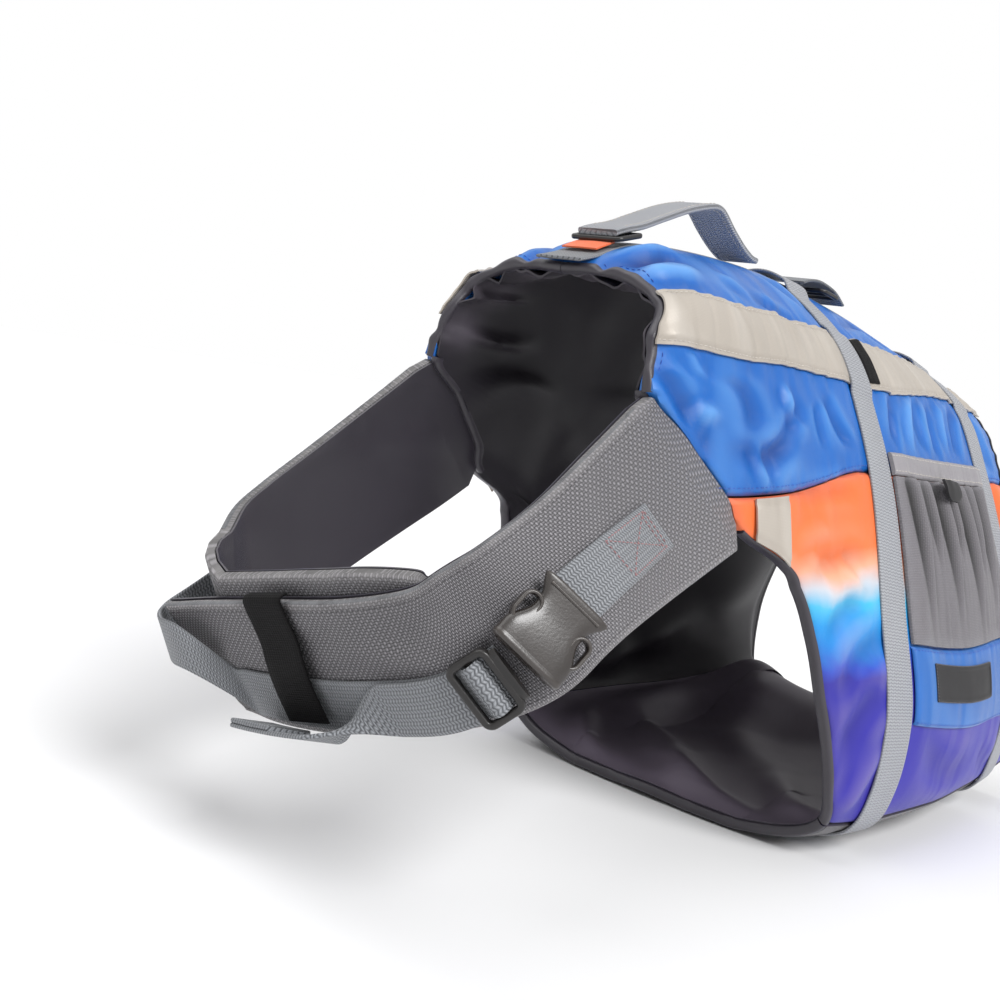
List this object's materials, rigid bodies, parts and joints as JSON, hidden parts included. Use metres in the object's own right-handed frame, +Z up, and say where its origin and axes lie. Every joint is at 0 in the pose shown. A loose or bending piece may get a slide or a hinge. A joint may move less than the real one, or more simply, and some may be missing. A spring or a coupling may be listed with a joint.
{
  "type": "dog life jacket",
  "caption": "Padded swimming jacket for a dog, filled out as worn: blue back, colour fade sides, grey neck band with buckle, body straps, grab handle and side pocket.",
  "frame": {"origin": "On the flat underside between the two body straps, at the middle of the belly's width and 250 mm behind the neck edge of the back.", "axes": "+Z up from the belly to the back, +Y from the neck to the tail, +X to the dog's left."},
  "size_m": [0.2757, 0.5514, 0.3345],
  "materials": {
    "blue_cloth": "plain woven nylon with a soft sheen",
    "print_cloth": "woven nylon with an orange to cyan to violet colour fade",
    "pocket_blue": "plain woven nylon",
    "dark_cloth": "plain woven nylon",
    "dark_lining": "smooth satin",
    "dark_binding": "folded binding tape and flat elastic",
    "coarse_grey_cloth": "coarse oxford weave",
    "pocket_cloth": "thin gathered cloth",
    "webbing": "ribbed woven webbing",
    "reflective_tape": "matte reflective tape",
    "accent_cloth": "plain woven nylon",
    "dark_rubber": "matte moulded rubber, bare",
    "black_plastic": "moulded, softly glossy"
  },
  "bodies": {
    "root": {"back_panel": "blue_cloth", "upper_side_left": "blue_cloth", "upper_side_right": "blue_cloth", "neck_binding_left": "blue_cloth", "neck_binding_right": "blue_cloth", "lower_side_left": "print_cloth", "lower_side_right": "print_cloth", "belly_panel": "dark_cloth", "body_lining": "dark_lining", "belly_lining": "dark_lining", "leg_binding_left": "dark_binding", "leg_binding_right": "dark_binding", "belly_hem": "dark_binding", "tail_binding": "dark_binding", "keeper": "dark_binding", "strip_tab": "dark_binding", "reflective_strip_left": "reflective_tape", "reflective_strip_right": "reflective_tape", "leg_patch_left": "reflective_tape", "leg_patch_right": "reflective_tape", "body_strap_front": "webbing", "body_strap_rear": "webbing", "spine_webbing": "webbing", "grab_handle": "webbing", "rear_loop": "webbing", "webbing_patch": "webbing", "neck_webbing": "webbing", "webbing_tail": "webbing", "accent_patch": "accent_cloth", "handle_slider": "black_plastic", "rear_slider": "black_plastic", "buckle_socket": "black_plastic", "buckle_bar": "black_plastic", "strap_buckle_front": "black_plastic", "strap_buckle_rear": "black_plastic", "bare_patch": "dark_rubber", "pocket_band": "pocket_cloth", "pocket_cloth": "pocket_cloth", "pocket_lower": "pocket_blue", "neck_band_near": "coarse_grey_cloth", "neck_band_far": "coarse_grey_cloth", "neck_lining_near": "dark_lining", "neck_lining_far": "dark_lining"}
  },
  "joints": []
}
